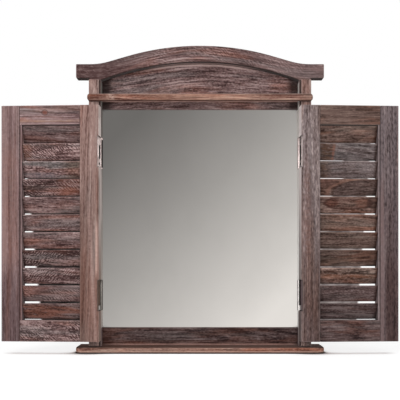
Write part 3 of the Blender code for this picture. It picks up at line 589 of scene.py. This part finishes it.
# Louvres: each slat is cut from another part of the log. Rows of values run from the top slat down,
# and spread is how far a slat's own draw may lead from the middle value.
slatSettings = {"wearAndHighlight": 0.5, "Rings": 0.22, "Ring Spacing": 0.0046, "Bands": 0.25, "waves": (190, 0, 225),
                "pith": 0.03, "logStep": 1.5, "nextLog": 20}
slatSpread = {"Rings": 0.1, "Ring Spacing": 0.0008, "Grit": 0.15, "pith": (0.015, 0.03),
              "tilt": (0.06, 0.10)}
louvres = {
    "left": {
        "tone": "umber", "shade": (1.12, 1.83, 1.9, 1.28, 1.26, 1.22, 1.44, 1.04, 1.53, 1.43, 0.83),
        "ripple": (0, 0.9, 0, 1, 0, 0.2, 0.1, 0.9, 1, 1, 0.2),
        "red": (0.3, 0.3, 0.3, 0.7, 0.2, 0.5, 0.6, 0.3, 0.3, 0.4, 0.8),
        "grey": (0.45, 0.45, 0.9, 0.6, 0.9, 0.45, 0.45, 0.6, 0.45, 0.45, 0.45), "grit": 0.6,
        "contrast": (0.8, 1.1, 0.95, 1.3, 0.85, 1.15, 0.95, 1.3, 1.0, 0.62, 1.1), "streaks": 0.7},
    "right": {
        "tone": ("cocoa", "ash", "ash") + ("cocoa",) * 6 + ("smoke",) * 2,
        "shade": (1.12, 1.14, 1.52, 1.38, 1.6, 1.6, 1.05, 0.88, 1.6, 1.22, 0.86),
        "ripple": (0, 0, 0.6, 0, 0, 0, 0, 0, 0, 0.2, 0.2),
        "red": (0.6, 0.2, 0.1, 0.3, 0.5, 0.5, 0.5, 0.5, 0.6, 0.3, 0.2), "grey": 0.45, "grit": 0.4,
        "contrast": (0.9, 1.0, 0.6, 0.95, 0.95, 0.9, 0.9, 1.0, 1.2, 0.8, 1.15), "streaks": 0.65},
}
# Figure on two of the slats, as ovals: x, z, half width, half height
flame = (0.1376, 0.0525, 0.085, 0.0245)
knot = (0.0815, 0.035, 0.042, 0.0108)
slatMarks = {
    ("left", 2): (
        spot((60, 40, 37), 0.6, slant=((-0.25, 0, 1), 0.149, 0.1515, 0.0008), broken=0.4),
        spot((140, 92, 72), 0.5, x=(-0.14, -0.118, 0.006), broken=0.6)),
    ("left", 3): (
        spot((122, 116, 122), 0.5, x=(-0.13, -0.075, 0.012), z=(0.07, 0.0865, 0.002), broken=0.4),
        wash((212, 200, 188), x=(-0.06, 0, 0.012))),
    ("left", 4): (
        spot((50, 34, 30), 0.85, slant=((-0.245, 0, 1), 0.0892, 0.0916, 0.0009), broken=0.2),
        spot((128, 78, 62), 0.45, x=(-0.07, 0, 0.008), broken=0.6)),
    ("left", 9): (spot((56, 38, 36), 0.6, slant=((-0.288, 0, 1), -0.0578, -0.0554, 0.0008), broken=0.4),),
    ("right", 2): (
        wash((218, 186, 160), slant=((1, 0, -0.12), 0, 0.042, 0.006), broken=0.5),
        spot((148, 96, 78), 0.55, slant=((1, 0, -0.06), 0.0475, 0.0515, 0.0016), broken=0.9)),
    ("right", 3): (wash((216, 196, 176), x=(0, 0.05, 0.01), broken=0.4),),
    ("right", 4): (
        spot((124, 96, 90), 0.5, x=(0.03, 0.062, 0.006), z=(0.062, 0.075, 0.003), broken=0.4),
        wash((246, 236, 230), oval=(0.1376, 0.0525, 0.086, 0.0245, 1.0, 3), wobble=0.06, soft=0.02),
        wash((200, 202, 208), oval=(*flame, -1, 0.97), wobble=0.06, soft=0.03),
        spot((58, 38, 32), 0.6, oval=(*flame, 0.94, 1.0), wobble=0.06, soft=0.03),
        spot((146, 108, 94), 0.5, oval=(*flame, 1.03, 1.1), wobble=0.06, soft=0.03)),
    ("right", 5): (
        wash((226, 216, 214), oval=(*knot, -1, 0.9), wobble=0.15, soft=0.06),
        spot((68, 42, 36), 0.75, oval=(*knot, 0.87, 1.03), wobble=0.15, soft=0.05),
        wash((230, 208, 200), oval=(0.053, 0.035, 0.013, 0.008, -1, 0.9), wobble=0.3, soft=0.3),
        spot((142, 96, 80), 0.45, oval=(0.106, 0.035, 0.013, 0.008, -1, 0.9), wobble=0.4, soft=0.35,
            broken=0.5),
        spot((66, 46, 42), 0.7, oval=(0.1245, 0.0355, 0.011, 0.0095, -1, 1), wobble=0.2, broken=0.3)),
    ("right", 9): (
        spot((146, 96, 72), 0.5, z=(-0.092, -0.0865, 0.002), broken=0.8),
        wash((206, 208, 212), z=(-0.12, -0.093, 0.002))),
}
# Painted shade at the right slats' outer ends, where they run into the stile
slatEndShade = wash((176, 160, 156), x=(0.1275, 0.2, 0.003))
rng = np.random.default_rng(11)
s, spread = slatSettings, slatSpread
for side, start in louvres.items():
    for number in range(1, 12):
        draw = rng.uniform(-1, 1, 7)
        own = {key: row[number - 1] if isinstance(row, tuple) else row for key, row in start.items()}
        *waves, rise = s["waves"]
        grain = {"Rings": s["Rings"] + spread["Rings"] * draw[5], "Bands": s["Bands"],
                 "Ring Spacing": s["Ring Spacing"] + spread["Ring Spacing"] * draw[2],
                 "Ripple Waves": (*waves, rise if draw[4] > 0 else -rise), "Ripple": own["ripple"],
                 "Grit": own["grit"] + spread["Grit"] * draw[6], "Streaks": own["streaks"],
                 "Contrast": own["contrast"], "Red Share": own["red"], "Grey Share": own["grey"]}
        stainBoard(f"{side}_shutter_louvre_{number:02d}", {
            "tone": own["tone"], "shade": own["shade"], "wearAndHighlight": s["wearAndHighlight"], "grain": grain,
            "pith": (s["pith"] + spread["pith"][0] * draw[1], spread["pith"][1] * draw[2]),
            "tilt": (spread["tilt"][0] * draw[3], spread["tilt"][1] * draw[4]),
            "along": s["logStep"] * number + s["nextLog"] * (side == "right"),
            "marks": slatMarks.get((side, number), ()) + ((slatEndShade,) if side == "right" else ())}, side)
print("shutter boards stained")

# The mirror and the metals show the studio's soft gradient, as in a retouched catalogue view
for name, item in nodes.items():
    item.visible_glossy = False


# Metals and glass

plating = {"roughness": 0.3, "steelRoughness": 0.35, "dullness": 0.15, "brushing": (2600, 2600, 140),
           "brushRelief": (0.25, 0.0002), "patches": (130, 130, 90), "nookReach": 0.004,
           "nookShadeColour": (30, 22, 20), "cover": 0.97, "coverSoft": (0.0003, 0.0007), "shine": 0.2}


def makeMetal(name, colours, roughness=plating["roughness"], marks=()):
    # Plated sheet: fine brushing along z and dull patches
    s = plating
    material, tree, skin, place = newMaterial(name)
    brushed = noise(tree, place, s["brushing"], 3.0, 0.6)
    patches = noise(tree, place, s["patches"], 3.0, 0.6, (5, 0, 0))
    bright, dull = (linear(*colour) for colour in colours)
    base = mix(tree, ramp(tree, patches, 0.35, 0.7), bright, dull)
    base = mix(tree, times(tree, ramp(tree, brushed, 0.4, 0.75), 0.3), base, dull)
    # Painted shade: the metal goes dark where other surfaces close it in
    nook = ramp(tree, openness(tree, s["nookReach"]), 0.2, 0.5, 1, 0)
    base = mix(tree, nook, base, linear(*s["nookShadeColour"]))
    # Stain and old grease, and painted shade and reflection, cover the plating
    bare = 1.0
    for mark in marks:
        mask = markMask(tree, place, mark)
        base = mix(tree, mask, base, linear(*mark["colour"]))
        bare = times(tree, minus(tree, 1.0, mask), bare)
    rough = ramp(tree, patches, 0.3, 0.7, roughness, roughness + s["dullness"])
    rough = plus(tree, rough, times(tree, brushed, 0.12))
    feed(tree, skin, {"Base Color": base, "Roughness": rough, "Metallic": bare,
                      "Specular IOR Level": times(tree, bare, s["shine"]),
                      "Normal": bump(tree, *s["brushRelief"], brushed)})
    return material


# Bright and dull colour of each plating. The four hinges are the same steel; each is painted lighter or
# darker for the light on it
metals = {
    "leftUpper": ((232, 216, 212), (178, 158, 154)),
    "rightUpper": ((226, 210, 206), (170, 152, 148)),
    "leftLower": ((150, 144, 138), (112, 106, 100)),
    "rightLower": ((246, 240, 237), (220, 212, 208)),
    "hanger": ((218, 190, 126), (150, 120, 70)),
    "point": ((170, 170, 168), (110, 108, 104)),
}
# Stain and grease on each hinge, and painted shade and reflection on its barrel and in the slot beside it:
# part, from and to (across the pin's axis on the barrel, in depth on the shutter's leaf), from and to in
# height, colour
coverSettings = {
    "leftUpper": (
        ("barrel", 0.0003, 0.0011, -0.1985, -0.151, (120, 108, 104)),
        ("barrel", 0.001, 0.006, -0.1985, -0.151, (20, 15, 14)),
        ("leaf", -0.0542, -0.043, -0.185, -0.1612, (14, 10, 9)),
        ("leaf", -0.0562, -0.044, -0.195, -0.1905, (22, 16, 15))),
    "rightUpper": (
        ("leaf", -0.052, -0.044, -0.1872, -0.1612, (22, 16, 15)),
        ("leaf", -0.052, -0.044, -0.195, -0.191, (22, 16, 15)),
        ("leaf", -0.052, -0.044, -0.158, -0.155, (22, 16, 15)),
        ("barrel", -0.006, -0.0017, -0.2, -0.14, (150, 142, 138))),
    "leftLower": (
        ("leaf", -0.062, -0.0555, -0.5, -0.3, (116, 98, 88)),
        ("leaf", -0.0555, -0.044, -0.433, -0.388, (116, 98, 88)),
        ("barrel", -0.006, -0.0012, -0.433, -0.388, (60, 50, 46)),
        ("barrel", 0.0012, 0.006, -0.5, -0.3, (94, 88, 84))),
    "rightLower": (
        ("barrel", 0.0002, 0.006, -0.433, -0.388, (30, 22, 22)),
        ("leaf", -0.0505, -0.043, -0.433, -0.388, (34, 26, 27)),
        ("leaf", -0.062, -0.0505, -0.5, -0.3, (112, 96, 98))),
}
for side in sides:
    for row in ("lower", "upper"):
        key = side + row.capitalize()
        covers = {"barrel": [], "leaf": []}
        for part, start, end, low, high, colour in coverSettings[key]:
            way, shift = ("x", pivots[side].x) if part == "barrel" else ("y", 0.0)
            softAcross, softUp = plating["coverSoft"]
            across = {way: (start + shift, end + shift, softAcross)}
            covers[part].append(spot(colour, plating["cover"], z=(low, high, softUp), **across))
        plate = makeMetal(key + "HingePlate", metals[key], marks=covers["barrel"])
        outer = makeMetal(key + "ShutterPlate", metals[key], marks=covers["barrel"] + covers["leaf"])
        dress(f"{side}_{row}_frame_leaf", plate)
        dress(f"{side}_{row}_hinge_pin", plate)
        dress(f"{side}_{row}_shutter_leaf", outer)
hangerMetal = makeMetal("hangerPlate", metals["hanger"])
pointMetal = makeMetal("backingPointSteel", metals["point"], plating["steelRoughness"])
for side in sides:
    dress(side + "_wall_hanger", hangerMetal)
    for row in ("lower", "upper"):
        dress(f"{side}_{row}_backing_point", pointMetal)

mirrorSettings = {"silver": (243, 240, 236), "dust": 0.965, "roughness": 0.015, "haze": 0.02,
                  "shut": (0.12, 0.4), "shutShade": (58, 44, 40)}


def makeMirror():
    # Silvered glass with a faint haze of dust
    s = mirrorSettings
    material, tree, skin, place = newMaterial("silveredGlass")
    cloud = noise(tree, place, (9, 9, 7), 3.0, 0.6)
    base = mix(tree, ramp(tree, cloud, 0.35, 0.65), linear(*s["silver"]), scaled(s["silver"], s["dust"]))
    # Painted shade: where the closed shutters close the glass in, it takes a dark brown that stands for
    # their backs mirrored in it
    base = mix(tree, ramp(tree, openness(tree, 0.03), *s["shut"], 1, 0), base, linear(*s["shutShade"]))
    rough = ramp(tree, cloud, 0.3, 0.8, s["roughness"], s["roughness"] + s["haze"])
    feed(tree, skin, {"Base Color": base, "Metallic": 1.0, "Roughness": rough})
    return material


dress("mirror_glass", makeMirror())

hardboard = {"dark": (92, 62, 40), "light": (140, 102, 70)}


def makeHardboard():
    # Pressed fibre: short random fibres over a mottled brown
    material, tree, skin, place = newMaterial("pressedFibre")
    fibres = noise(tree, place, (420, 420, 900), 4.0, 0.7)
    mottle = noise(tree, place, (40, 40, 40), 3.0, 0.6, (0, 4, 0))
    blend = plus(tree, times(tree, fibres, 0.7), times(tree, mottle, 0.3))
    base = mix(tree, ramp(tree, blend, 0.35, 0.65), linear(*hardboard["dark"]), linear(*hardboard["light"]))
    feed(tree, skin, {"Base Color": base, "Roughness": ramp(tree, fibres, 0.3, 0.7, 0.62, 0.82),
                      "Normal": bump(tree, 0.4, 0.0004, fibres)})
    return material


dress("backing_board", makeHardboard())
print("metals, glass and board finished")


# Screws and nails, each a surface of revolution on a grid of rings by spokes

def addSurface(name, points, material):
    # points: rings x spokes x 3, closed round each ring; the first and last rings meet in poles
    rings, spokes = points.shape[:2]
    index = np.arange(rings * spokes).reshape(rings, spokes)
    following = np.roll(index, -1, axis=1)
    quads = np.stack([index[:-1], index[1:], following[1:], following[:-1]], axis=-1).reshape(-1, 4)
    mesh = bpy.data.meshes.new(name)
    mesh.from_pydata(points.reshape(-1, 3).tolist(), [], quads.tolist())
    mesh.materials.append(material)
    return addObject(name, mesh)


def closeAndPlace(item, body):
    # Welds the poles, turns the faces outwards and fixes the piece to its body
    shape = bmesh.new()
    shape.from_mesh(item.data)
    bmesh.ops.remove_doubles(shape, verts=shape.verts, dist=0.000001)
    bmesh.ops.recalc_face_normals(shape, faces=shape.faces)
    shape.to_mesh(item.data)
    shape.free()
    item.data.shade_smooth()
    item.data.set_sharp_from_angle(angle=math.radians(35))
    item.visible_glossy = False
    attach(item, body)


screwSettings = {"headRadius": 0.00245, "rootRadius": 0.00135, "depth": 0.00125, "sunk": 0.00008,
                 "crossWidth": 0.00042, "crossReach": 0.00135, "crossDepth": 0.0006, "softSide": 0.00015,
                 "softEnd": 0.0003, "spacing": 0.032, "fromAxis": 0.0105, "leafFace": 0.0014,
                 "rings": 9, "spokes": 32}
nailSettings = {"headRadius": 0.0019, "headHeight": 0.0006, "shankRadius": 0.00095, "depth": 0.0012,
                "inset": 0.00325, "behind": 0.0023, "rings": 7, "spokes": 24}


def screwPoints(centre, outward, turn):
    # Height over the leaf: -sunk, less crossDepth * max of two bars |u| or |v| < crossWidth that
    # fade out at crossReach; then a cone from headRadius to rootRadius over depth, and a flat end.
    s = screwSettings
    angle = np.linspace(0, math.tau, s["spokes"], endpoint=False)
    face = np.linspace(0, 1, s["rings"]) * s["headRadius"]
    radius = np.concatenate([face, [s["rootRadius"], 0.0]])
    height = np.concatenate([np.full(s["rings"], -s["sunk"]), [-s["depth"], -s["depth"]]])
    r, a = np.meshgrid(radius, angle, indexing="ij")
    u, v = r * np.cos(a), r * np.sin(a)
    cosTurn, sinTurn = math.cos(turn), math.sin(turn)
    bars = np.minimum(np.abs(u * cosTurn + v * sinTurn), np.abs(v * cosTurn - u * sinTurn))
    cross = np.clip((s["crossWidth"] - bars) / s["softSide"], 0, 1)
    cross = cross * np.clip((s["crossReach"] - r) / s["softEnd"], 0, 1)
    cross[s["rings"]:] = 0
    h = height[:, None] - s["crossDepth"] * cross
    axis = np.array(outward)
    side = np.array([0.0, 0.0, 1.0])
    other = np.cross(axis, side)
    return np.array(centre) + h[..., None] * axis + u[..., None] * side + v[..., None] * other


screwTurns = np.random.default_rng(4).uniform(0, math.pi / 2, 16)
count = 0
for side, sign in sides.items():
    for row in ("lower", "upper"):
        low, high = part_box(f"{side}_{row}_hinge_pin")
        axisPoint = (low + high) / 2
        for leaf, body, ahead in (("frame", "frame", -1), ("shutter", side + "_shutter", 1)):
            spin = Matrix.Rotation(0 if leaf == "frame" else sign * openTurn, 3, "Z")
            for end in (-1, 1):
                local = Vector((sign * screwSettings["leafFace"], -ahead * screwSettings["fromAxis"],
                                end * screwSettings["spacing"] / 2))
                outward = spin @ Vector((-sign, 0, 0))
                name = f"{side}_{row}_{leaf}_screw_{'low' if end < 0 else 'high'}"
                item = addSurface(name, screwPoints(axisPoint + spin @ local, outward, screwTurns[count]),
                                  nodes[f"{side}_{row}_frame_leaf"].material_slots[0].material)
                closeAndPlace(item, body)
                count += 1


def nailPoints(centre):
    # Domed head: height = headHeight * sqrt(1 - (r / headRadius)^2) towards the wall, then a shank
    s = nailSettings
    share = np.sin(np.linspace(0, math.pi / 2, s["rings"]))
    radius = np.concatenate([share * s["headRadius"], [s["shankRadius"], s["shankRadius"], 0.0]])
    height = np.concatenate([s["headHeight"] * np.sqrt(1 - share ** 2), [0.0, -s["depth"], -s["depth"]]])
    angle = np.linspace(0, math.tau, s["spokes"], endpoint=False)
    r, a = np.meshgrid(radius, angle, indexing="ij")
    out = np.stack([r * np.cos(a), height[:, None] + 0 * a, r * np.sin(a)], axis=-1)
    return np.array(centre) + out


for side, sign in sides.items():
    low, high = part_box(side + "_wall_hanger")
    inset = nailSettings["inset"]
    for end, x in (("left", low.x + inset), ("right", high.x - inset)):
        centre = (x, high.y - nailSettings["behind"], (low.z + high.z) / 2)
        item = addSurface(f"{side}_hanger_nail_{end}", nailPoints(centre), hangerMetal)
        closeAndPlace(item, "frame")
print("screws and nails set:", count, "and 4")


# Stage: pale floor, and slim strips of wall that only the camera sees, through the slits

def stagePlane(name, *quads):
    points = np.array(quads).reshape(-1, 3)
    mesh = bpy.data.meshes.new(name)
    mesh.from_pydata(points.tolist(), [], np.arange(len(points)).reshape(-1, 4).tolist())
    item = addObject(name, mesh)
    material, tree, skin, place = newMaterial(name + "Paint")
    item.data.materials.append(material)
    return item, tree, skin, place


floorSettings = {"drop": 0.0004, "tone": 0.55, "cloud": 1.03, "lift": 0.68,
                 "touchReach": 0.007, "contactShadeColour": (0.035, 0.016, 0.012, 1),
                 "nookReach": 0.03, "bounce": (1.0, 0.62, 0.5, 1)}
height = cadBox[0].z - floorSettings["drop"]
corners = [(x, y, height) for x, y in ((-4, -5), (4, -5), (4, 4), (-4, 4))]
floor, tree, skin, place = stagePlane("floor", corners)
plain = np.full(3, floorSettings["tone"])
base = mix(tree, noise(tree, place, (3, 3, 3)), (*plain, 1), (*plain * floorSettings["cloud"], 1))
# Painted contact shadow: right under the wood the floor's colour goes dark
touch = openness(tree, floorSettings["touchReach"])
base = mix(tree, ramp(tree, touch, 0.5, 0.95, 1, 0), base, floorSettings["contactShadeColour"])
feed(tree, skin, {"Base Color": base, "Roughness": 0.9, "Specular IOR Level": 0.0})
floor.visible_glossy = False
seen = put(tree, "LightPath").outputs
shown = calc(tree, "MAXIMUM", calc(tree, "MAXIMUM", seen["Is Camera Ray"], seen["Is Glossy Ray"]),
             seen["Is Transmission Ray"])
# Painted shadow: the floor's glow fades where the wood closes it in
nook = openness(tree, floorSettings["nookReach"], 16)
shown = times(tree, shown, ramp(tree, nook, 0.5, 0.85))
# Painted bounce light: near the wood the floor's glow takes a little of its colour
tint = mix(tree, ramp(tree, nook, 0.5, 0.8), floorSettings["bounce"], (1, 1, 1, 1))
glow = put(tree, "Emission", {"Color": tint, "Strength": times(tree, shown, floorSettings["lift"])})
both = put(tree, "AddShader", {0: tree.nodes["Principled BSDF"].outputs[0], 1: glow.outputs[0]})
feed(tree, tree.nodes["Material Output"].inputs, {"Surface": both.outputs[0]})

# The wall strips, one to a slit, glow with painted light and shade: dark where they lie in the
# shutter's shade, light at their outer ends, whose edge is at start + slope * height, and in the
# glimmers, painted light streaks given as (near, far, low, high, light).
wallSettings = {
    "left": {"near": 0.208, "far": 0.325, "edge": (0.3262, 0.098), "nearShade": 0.035},
    "right": {"near": 0.208, "far": 0.325, "edge": (0.3137, 0.080), "nearShade": 0.34,
              "glimmers": ((0.18, 0.254, -0.222, -0.170, 0.85), (0.18, 0.235, -0.252, -0.232, 0.6))},
}
stripSettings = {"first": -0.1490, "pitch": -0.03132, "half": 0.0014, "growth": 0.00013, "count": 11,
                 "behind": 0.0015, "reach": 0.11, "soft": 0.004, "tint": (255, 232, 226)}
for side, sign in sides.items():
    s = wallSettings[side]
    corners = []
    for number in range(stripSettings["count"]):
        z = stripSettings["first"] + stripSettings["pitch"] * number
        half = stripSettings["half"] + stripSettings["growth"] * number
        low, high = z - half, z + half
        corners.append([(sign * x, stripSettings["behind"], z) for x, z in
                        ((s["near"], low), (s["far"], low), (s["far"], high), (s["near"], high))][::sign])
    wall, tree, skin, place = stagePlane(side + "Wall", *corners)
    for kind in ("diffuse", "glossy", "transmission", "volume_scatter", "shadow"):
        setattr(wall, "visible_" + kind, False)
    parts = split(tree, place)
    edge = plus(tree, times(tree, parts[2], s["edge"][1]), s["edge"][0])
    outward = minus(tree, calc(tree, "ABSOLUTE", parts[0]), edge)
    nook = openness(tree, stripSettings["reach"], 16)
    light = calc(tree, "MAXIMUM", ramp(tree, nook, 0.4, 0.65), ramp(tree, outward, -0.003, 0.003))
    uneven = ramp(tree, noise(tree, place, (40, 1, 90), 2.0), 0.35, 0.65, 0.3, 1.0)
    light = calc(tree, "MAXIMUM", light, times(tree, uneven, s["nearShade"]))
    soft = stripSettings["soft"]
    for near, far, low, high, glimmer in s.get("glimmers", ()):
        streak = spot((255, 255, 255), glimmer, x=(near, far, soft), z=(low, high, soft))
        light = calc(tree, "MAXIMUM", light, markMask(tree, place, streak))
    tint = mix(tree, light, linear(*stripSettings["tint"]), (1, 1, 1, 1))
    glow = put(tree, "Emission", {"Color": tint, "Strength": light})
    clear = put(tree, "BsdfTransparent")
    behind = put(tree, "NewGeometry").outputs["Backfacing"]
    both = put(tree, "MixShader", {0: behind, 1: glow.outputs[0], 2: clear.outputs[0]})
    feed(tree, tree.nodes["Material Output"].inputs, {"Surface": both.outputs[0]})

# World: even light, white behind the object, and a soft gradient where something mirrors it
worldSettings = {"light": 0.46, "middle": 0.751, "toRight": 0.92, "toTop": -1.0, "darkest": 0.445,
                 "brightest": 0.93, "gamma": 2.2, "card": (1.0, 0.982, 0.966, 1)}
world = bpy.data.worlds.new("studio")
bpy.context.scene.world = world
world.use_nodes = True
tree = world.node_tree
tree.nodes.clear()
seen = put(tree, "LightPath").outputs
way = split(tree, put(tree, "TexCoord").outputs["Generated"])
value = plus(tree, times(tree, way[0], worldSettings["toRight"]), worldSettings["middle"])
value = plus(tree, value, times(tree, way[2], worldSettings["toTop"]))
value = calc(tree, "MINIMUM", calc(tree, "MAXIMUM", value, worldSettings["darkest"]),
             worldSettings["brightest"])
value = calc(tree, "POWER", value, worldSettings["gamma"])
even = put(tree, "Background", {"Color": (1, 1, 1, 1), "Strength": worldSettings["light"]})
white = put(tree, "Background", {"Color": (1, 1, 1, 1), "Strength": 1.0})
card = put(tree, "Background", {"Color": worldSettings["card"], "Strength": value})
shown = calc(tree, "MAXIMUM", seen["Is Camera Ray"], seen["Is Transmission Ray"])
first = put(tree, "MixShader", {0: shown, 1: even.outputs[0], 2: white.outputs[0]})
second = put(tree, "MixShader", {0: seen["Is Glossy Ray"], 1: first.outputs[0], 2: card.outputs[0]})
end = tree.nodes.new("ShaderNodeOutputWorld")
feed(tree, end.inputs, {"Surface": second.outputs[0]})

# Soft boxes
softBoxes = {
    "keyBox": {"place": (-1.5, -2.3, 0.5), "size": 1.6, "power": 32},
    "fillBox": {"place": (1.6, -2.2, 0.1), "size": 1.6, "power": 15},
    "topBox": {"place": (0.0, -0.7, 1.9), "size": 1.2, "power": 6},
}
target = Vector((0, 0, -0.26))
# The fill light is kept off the mirror, where it would show as a white patch
unlit = bpy.data.collections.new("hidesFillBox")
unlit.objects.link(nodes["mirror_glass"])
unlit.collection_objects[0].light_linking.link_state = "EXCLUDE"
for name, box in softBoxes.items():
    lamp = bpy.data.lights.new(name, "AREA")
    lamp.size = box["size"]
    lamp.energy = box["power"]
    item = addObject(name, lamp)
    item.location = box["place"]
    item.rotation_euler = (target - item.location).to_track_quat("-Z", "Y").to_euler()
    if name == "fillBox":
        item.light_linking.receiver_collection = unlit

# Camera: level, at the middle of the frame's width and the height of its horizon
cameraSettings = {"place": (0.0, -1.138, -0.3593), "focalPixels": 643, "horizon": 262, "frame": 400}
camera = bpy.data.cameras.new("camera")
camera.sensor_width = 36
camera.lens = 36 * cameraSettings["focalPixels"] / cameraSettings["frame"]
camera.shift_y = (cameraSettings["horizon"] - cameraSettings["frame"] / 2) / cameraSettings["frame"]
eye = addObject("camera", camera)
eye.location = cameraSettings["place"]
eye.rotation_euler = (math.radians(90), 0, 0)
bpy.context.scene.camera = eye
bpy.context.scene.view_settings.view_transform = "Standard"

print("stage, world, lamps and camera set")
